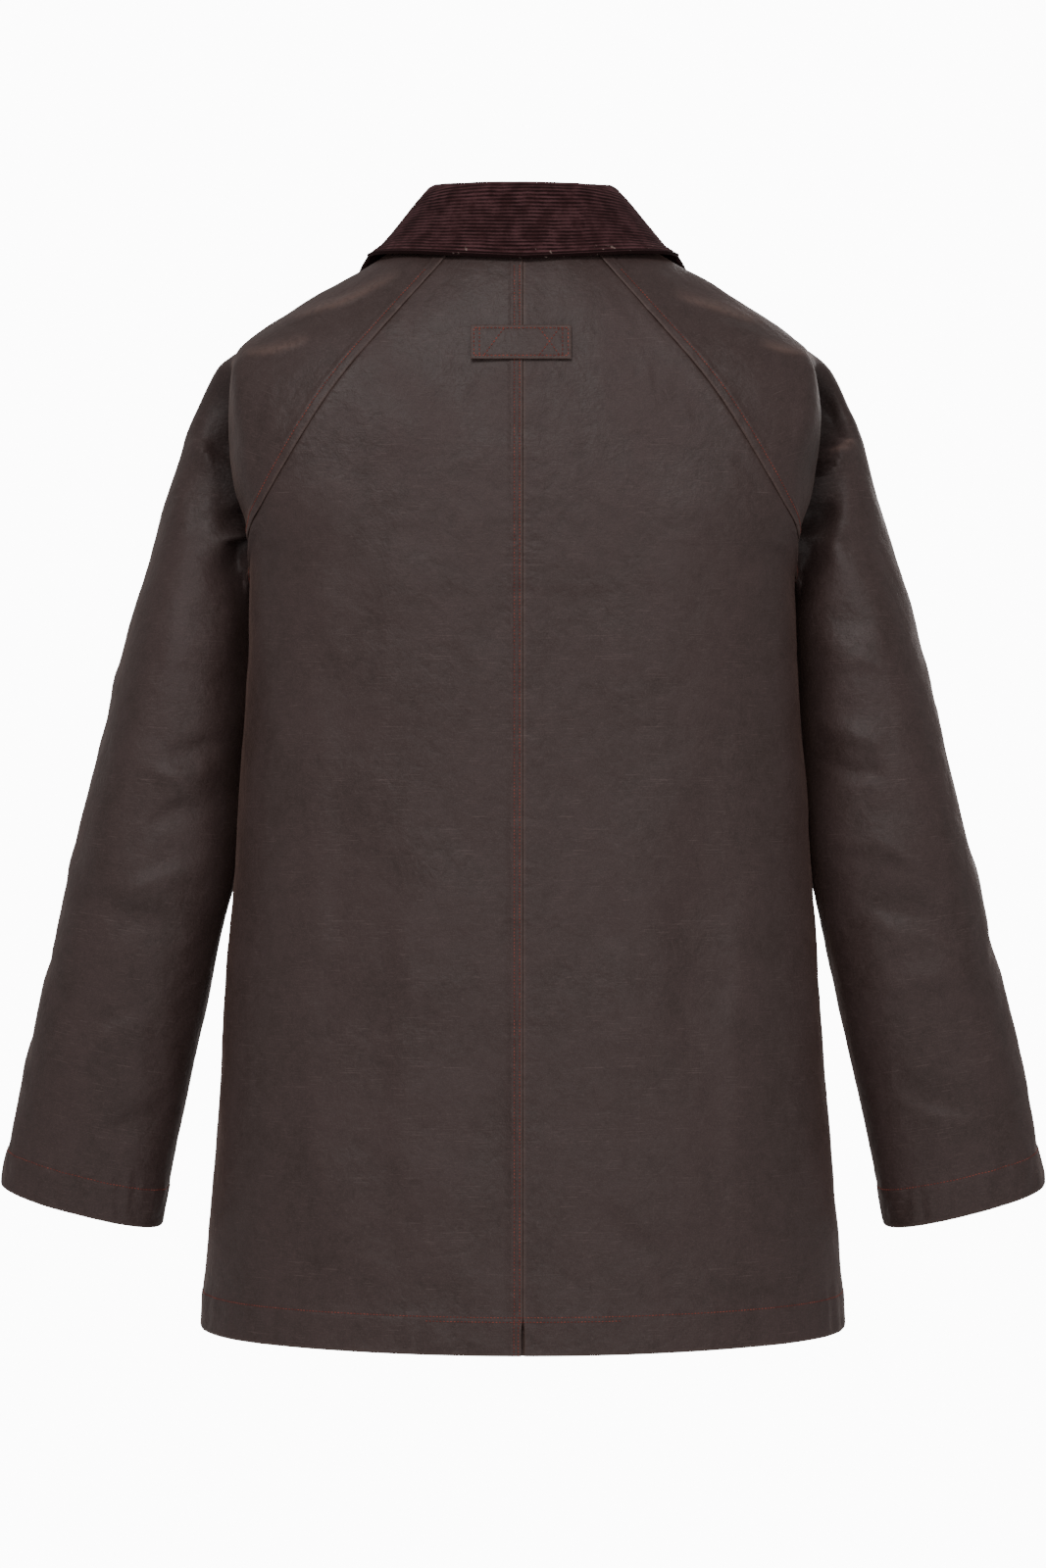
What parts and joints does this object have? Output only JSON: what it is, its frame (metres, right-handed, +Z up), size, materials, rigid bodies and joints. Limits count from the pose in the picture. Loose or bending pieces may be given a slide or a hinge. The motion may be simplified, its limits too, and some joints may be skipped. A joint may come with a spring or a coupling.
{
  "type": "waxed cotton jacket",
  "caption": "Hip-length waxed cotton jacket with raglan sleeves and a turned-down corduroy collar, hollow and filled out as worn, closed by a fly with snap studs.",
  "frame": {"origin": "middle of the neck opening, 8 mm above the collar seam at the centre back, where the wearer's neck and shoulders hold the jacket", "axes": "+Z up, +Y out of the jacket's back, -Y out of its front, +X to the wearer's left"},
  "size_m": [0.74, 0.2863, 0.8084],
  "materials": {
    "waxed_cotton": "dark brown waxed cotton, soft satin sheen, cloudy wax",
    "corduroy": "dark red-brown corduroy, matt, ribs along the collar",
    "aged_brass": "dull aged brass"
  },
  "bodies": {
    "root": {"back_left": "waxed_cotton", "back_right": "waxed_cotton", "front_left": "waxed_cotton", "front_right": "waxed_cotton", "sleeve_left": "waxed_cotton", "sleeve_right": "waxed_cotton", "collar": "corduroy", "back_tab": "waxed_cotton", "front_fly": "waxed_cotton", "front_stud_1": "aged_brass", "front_stud_2": "aged_brass", "front_stud_3": "aged_brass", "front_stud_4": "aged_brass", "front_stud_5": "aged_brass"}
  },
  "joints": []
}
